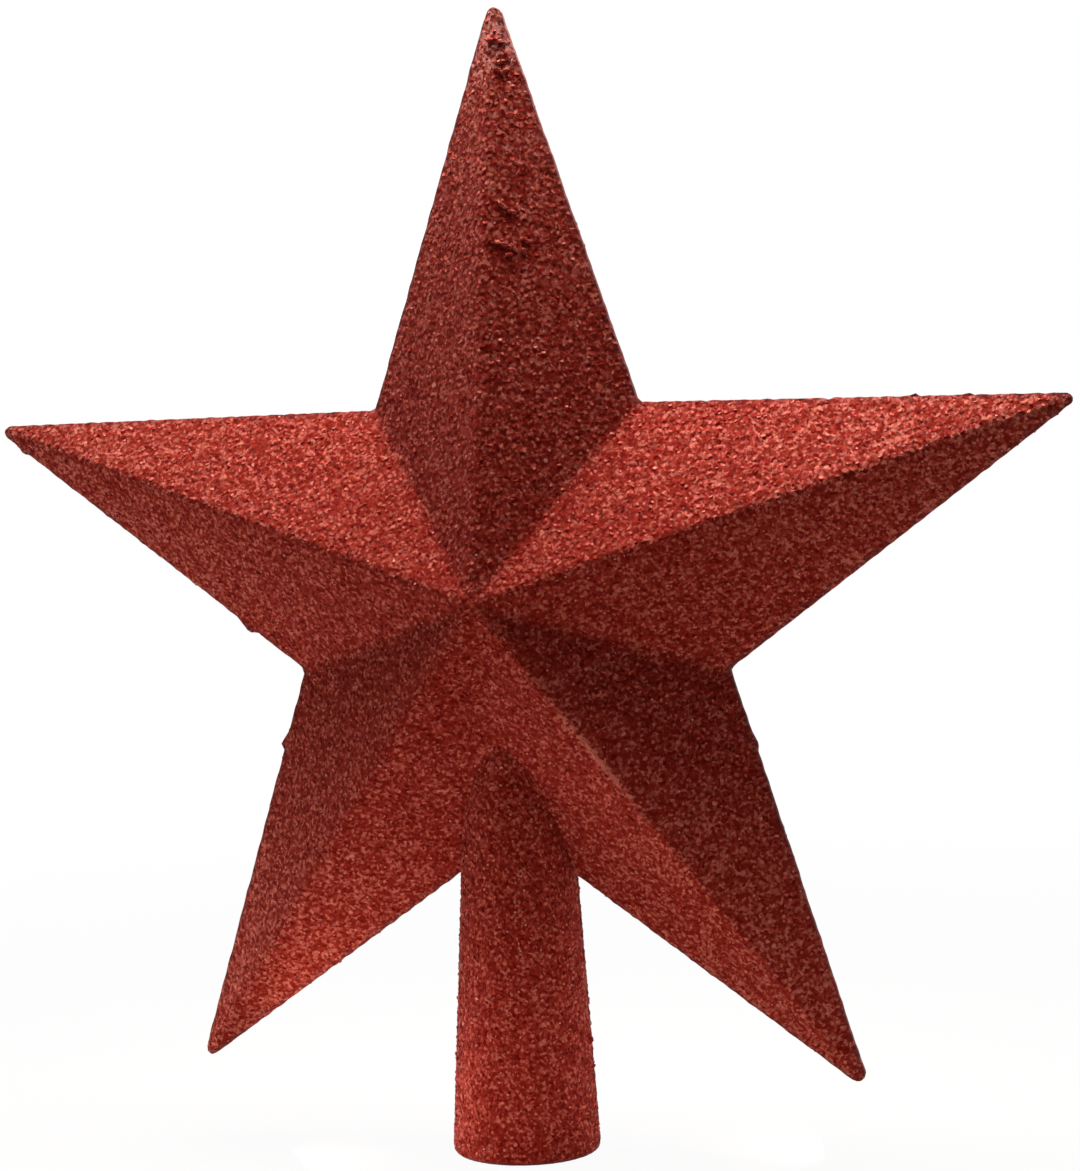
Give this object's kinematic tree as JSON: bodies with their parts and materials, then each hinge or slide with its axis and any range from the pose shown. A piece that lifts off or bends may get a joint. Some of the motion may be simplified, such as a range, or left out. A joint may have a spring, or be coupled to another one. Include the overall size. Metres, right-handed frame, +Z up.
{
  "type": "christmas tree topper star",
  "caption": "Hollow faceted star on a tapered socket that slips over a tree's top shoot; moulded halves glued along a lipped rim, coated in red glitter.",
  "frame": {"origin": "centre of the socket's mouth, level with its rim", "axes": "+Z up the socket to the star's top point, front facing -Y, +X to the viewer's right"},
  "size_m": [0.1856, 0.0408, 0.1904],
  "materials": {
    "shell_plastic": "moulded, satin",
    "glue": "dried glue",
    "glitter": "red glitter in clear lacquer"
  },
  "bodies": {
    "root": {"front_shell": "shell_plastic", "back_shell": "shell_plastic", "glue_seam": "glue", "glitter_coat": "glitter"}
  },
  "joints": []
}
